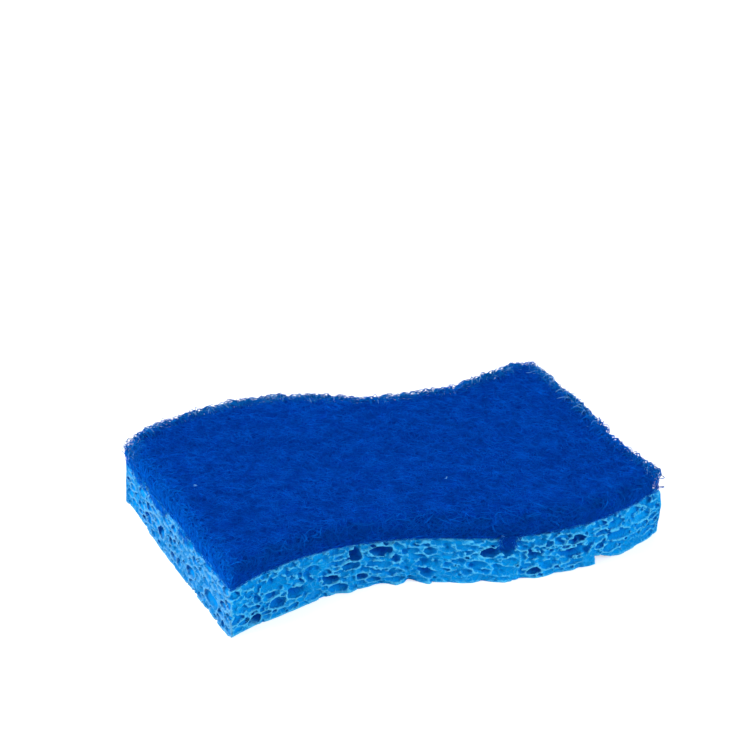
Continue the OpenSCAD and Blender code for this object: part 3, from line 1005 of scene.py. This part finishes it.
def sponge_finish():
    """Light-blue foam with paler skins round its pores, with painted shade inside them that is lifted at the
    lit left end, and frayed at the left end.
    """
    made = Finish(bpy.data.materials.new("cellulose"))
    place = made.place()
    depth, thin = made.read("depth"), made.read("thin")
    grain = made.noise(place, 0.7, 4.0)
    patches = made.noise(place, 6.0, 2.0)
    bent = made.node("ShaderNodeTexNoise", None, out="Color",
                     Vector=place, Scale=1 / (NET_BENT * MM), Detail=2.0)
    bent = made.node("ShaderNodeVectorMath", {"operation": "MULTIPLY_ADD"}, bent, [NET_REACH * MM] * 3, place)
    bent = made.node("ShaderNodeVectorMath", {"operation": "MULTIPLY"}, bent, (1.0, 1.0, NET_FLAT))
    gap = made.node("ShaderNodeTexVoronoi", {"feature": "DISTANCE_TO_EDGE"}, out="Distance",
                    Vector=bent, Scale=1 / (NET_CELL * MM))
    net = 1 - made.ramp(gap, 0.02, 0.13)
    along = made.node("ShaderNodeSeparateXYZ", None, place, out="X")
    # The left end is frayed, and there the painted shade of the pores is lifted, as painted light on the side
    # the key lamp lights
    frayed, pore_shade_lifted = (made.ramp(along, *[(far - LENGTH / 2) * MM for far in reach]) for reach in (FRAYED, PORE_SHADE_LIFTED))
    base = made.blend(made.ramp(patches, 0.35, 0.65), SPONGE_DIM, SPONGE_BRIGHT)
    base = made.blend(frayed, base, FRAYED_SPONGE)
    torn = frayed * made.ramp(made.noise(place, 1.6, 3.0), 0.42, 0.6)
    edge = made.ramp(thin + 0.1 * (grain - 0.5) + 0.08 * net + 0.12 * torn, 0.6, 0.82)
    skins = made.blend(frayed, SPONGE_SKIN, FRAYED_SKIN)
    pale = made.blend(edge, base, skins)
    drawn = net * 0.16 * (1 - made.ramp(depth, 0.3, 1.2)) + torn * 0.3
    netted = made.blend(drawn, pale, skins)
    # Painted shade: the deeper a place lies in a pore, the darker it is painted, less so at the lit left end
    colour = made.blend(made.ramp(depth, 0.6, 2.4) * (1 - 0.85 * pore_shade_lifted), netted, SPONGE_PAINTED_SHADE)
    height = grain * 0.5 + net * 0.5
    return made.surface(colour, MAT_ROUGHNESS, height, 0.15, Specular_IOR_Level=0.02)


def pad_finish():
    """Royal-blue felt, mottled, with painted light making it paler in the teased rim."""
    made = Finish(bpy.data.materials.new("scrub_fibre"))
    place = made.place()
    patches = made.noise(place, 7.0, 4.0, 0.6)
    colour = made.blend(made.ramp(patches, 0.3, 0.7), BODY_DIM, BODY_BRIGHT)
    # Painted light: the teased fringe of the back and the right end is painted paler, as if lit from behind
    colour = made.blend(made.read("teased_painted_light") * FRINGE_PAINTED_LIGHT_SHARE, colour, BODY_FRINGE_PAINTED_LIGHT)
    return made.surface(colour, MAT_ROUGHNESS, made.noise(place, 0.4, 3.0), 0.2, Specular_IOR_Level=0.01)


def fibre_finish(name, darker, dark, light, lighter):
    """Royal-blue fibres, each with its own shade, in darker and paler patches, with painted light at the rim,
    painted light and shade in the fringe and a few painted glints.
    """
    made = Finish(bpy.data.materials.new(name))
    place = made.place()
    shade, teased_painted_light = made.read("shade"), made.read("teased_painted_light")
    patches = made.ramp(made.noise(place, 4.0, 4.0, 0.65), 0.38, 0.62)
    bright = made.blend(patches, light, lighter)
    dim = made.blend(patches, darker, dark)
    # Painted light: the loose fibres of the rim are painted paler, and those teased out of the back and the
    # right end paler again, as if lit from behind
    rim = made.blend(made.read("rim") * 0.65, made.blend(shade, dim, bright), RIM_PAINTED_LIGHT)
    # Painted shade on the fringe's standing fibres, painted light on its lying ones
    fringe = made.blend(made.read("lying"), FRINGE_STANDING_PAINTED_SHADE, FRINGE_LYING_PAINTED_LIGHT)
    colour = made.blend(teased_painted_light * FRINGE_PAINTED_LIGHT_SHARE, rim, fringe)
    # A few of those get a painted glint
    colour = made.blend(made.ramp(shade, 0.84, 0.9) * teased_painted_light * PAINTED_GLINT_SHARE, colour, FRINGE_PAINTED_GLINT)
    return made.surface(colour, FIBRE_ROUGHNESS, Specular_IOR_Level=0.01)


def lint_finish():
    """Pale-blue lint."""
    made = Finish(bpy.data.materials.new("lint"))
    colour = made.blend(made.noise(made.place(), 0.3), LINT_DIM, LINT_BRIGHT)
    return made.surface(colour, FIBRE_ROUGHNESS, Specular_IOR_Level=0.1)


def dress(piece, node, finish):
    """Puts a finish on a piece, hangs it on the root body, and hides the frame's part that it stands for."""
    piece.data.materials.append(finish)
    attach(piece, "root")
    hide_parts(node)


dress(carve_sponge(), "cellulose_sponge", sponge_finish())
pad_body, pad_block, pad_lumps = carve_pad()
dress(pad_body, "scrub_pad", pad_finish())
strands = fibre_finish("scrub_fibre_strands", *STRAND_COLOURS)
rng = np.random.default_rng(31)
for k in range(FIBRE_PIECES):
    starts = starts_on_pad(FIBRES_EACH, rng)
    laid = lay_fibres(f"pad_fibres_{k + 1}", starts, rng, **STRANDS)
    dress(laid, "scrub_pad", strands)
fuzz = lay_fibres("pad_rim_fuzz", starts_on_pad(FUZZ_FIBRES, rng, True), rng, **FUZZ)
dress(fuzz, "scrub_pad", fibre_finish("rim_strands", *FUZZ_COLOURS))
dress(hang_fibres("pad_hanging_fibres", TUFTS, rng), "scrub_pad", strands)
flecks = []
for x, v, z, size in FLECKS:
    middle = (x, v + wave(x), z)
    flecks.append(middle + size * rng.uniform(-1, 1, (round(LINT_FIBRES * size), 3)) * (0.5, 0.6, 0.1))
lint = lay_fibres("lint", np.concatenate(flecks), rng, **LINT)
dress(lint, "scrub_pad", lint_finish())

# Camera, fitted to the photograph's frame of 750 pixels a side
FRAME_PIXELS = 750
FOCAL_PIXELS = 2332.4
SENSOR_WIDTH = 36.0
CAMERA_TURN, CAMERA_TILT, CAMERA_ROLL = -0.469, 0.479, 0.025
CAMERA_DISTANCE = 570.8
CAMERA_TARGET = Vector((19.24, 46.61, 10.0))
# Nearest and furthest that the camera sees, in metres
CAMERA_SEES = 0.01, 10.0


def add_camera():
    """The camera at its turn round the object, its tilt above the floor and its roll."""
    back = Vector((math.sin(CAMERA_TURN), -math.cos(CAMERA_TURN), 0)) * math.cos(CAMERA_TILT)
    back.z = math.sin(CAMERA_TILT)
    right = Vector((math.cos(CAMERA_TURN), math.sin(CAMERA_TURN), 0))
    up = back.cross(right)
    c, s = math.cos(CAMERA_ROLL), math.sin(CAMERA_ROLL)
    right, up = c * right + s * up, c * up - s * right
    data = bpy.data.cameras.new("camera")
    data.sensor_width = SENSOR_WIDTH
    data.lens = FOCAL_PIXELS / FRAME_PIXELS * SENSOR_WIDTH
    data.clip_start, data.clip_end = CAMERA_SEES
    camera = bpy.data.objects.new("camera", data)
    bpy.context.collection.objects.link(camera)
    turned = Matrix((right, up, back)).transposed().to_4x4()
    camera.matrix_world = Matrix.Translation((CAMERA_TARGET + back * CAMERA_DISTANCE) * MM) @ turned
    bpy.context.scene.camera = camera


# Soft lamps that aim at the origin, as place and width in metres, and power in watts
LAMPS = {
    "key": ((-0.75, 0.2, 0.6), 0.5, 9),
    "fill": ((0.65, -0.8, 0.4), 0.6, 7),
    "back": ((0.5, 0.75, 0.35), 0.6, 3.5),
}
WORLD_LIGHT = 0.36
FLOOR_SIZE = 6
FLOOR_PALE, FLOOR_LIFT = 0.82, 0.6
WHITE = (1, 1, 1, 1)


def add_lamps():
    for name, (place, width, power) in LAMPS.items():
        data = bpy.data.lights.new(name, "AREA")
        data.energy, data.size = power, width
        lamp = bpy.data.objects.new(name, data)
        bpy.context.collection.objects.link(lamp)
        lamp.location = place
        lamp.rotation_euler = (-Vector(place)).to_track_quat("-Z", "Y").to_euler()


def add_world():
    """Even light from all round, which is white where it is seen directly."""
    bpy.context.scene.world = bpy.data.worlds.new("studio")
    made = Finish(bpy.context.scene.world)
    light = made.node("ShaderNodeBackground", None, Color=WHITE, Strength=WORLD_LIGHT)
    seen = made.node("ShaderNodeBackground", None, Color=WHITE, Strength=1.0)
    both = made.node("ShaderNodeMixShader", None, made.seen_directly(), light, seen)
    made.end(both, "ShaderNodeOutputWorld")


def add_floor():
    """A pale floor with the object's shadow on it, lifted to white where it is seen directly."""
    bpy.ops.mesh.primitive_plane_add(size=FLOOR_SIZE)
    floor = bpy.context.object
    floor.name = "floor"
    made = Finish(bpy.data.materials.new("floor_paint"))
    plain = made.node("ShaderNodeBsdfDiffuse", None, Color=(FLOOR_PALE, FLOOR_PALE, FLOOR_PALE, 1))
    lift = made.node("ShaderNodeEmission", None, Color=WHITE, Strength=FLOOR_LIFT)
    lifted = made.node("ShaderNodeAddShader", None, plain, lift)
    both = made.node("ShaderNodeMixShader", None, made.seen_directly(), plain, lifted)
    floor.data.materials.append(made.end(both))


bpy.context.scene.view_settings.view_transform = "Standard"
add_camera()
add_world()
add_lamps()
add_floor()
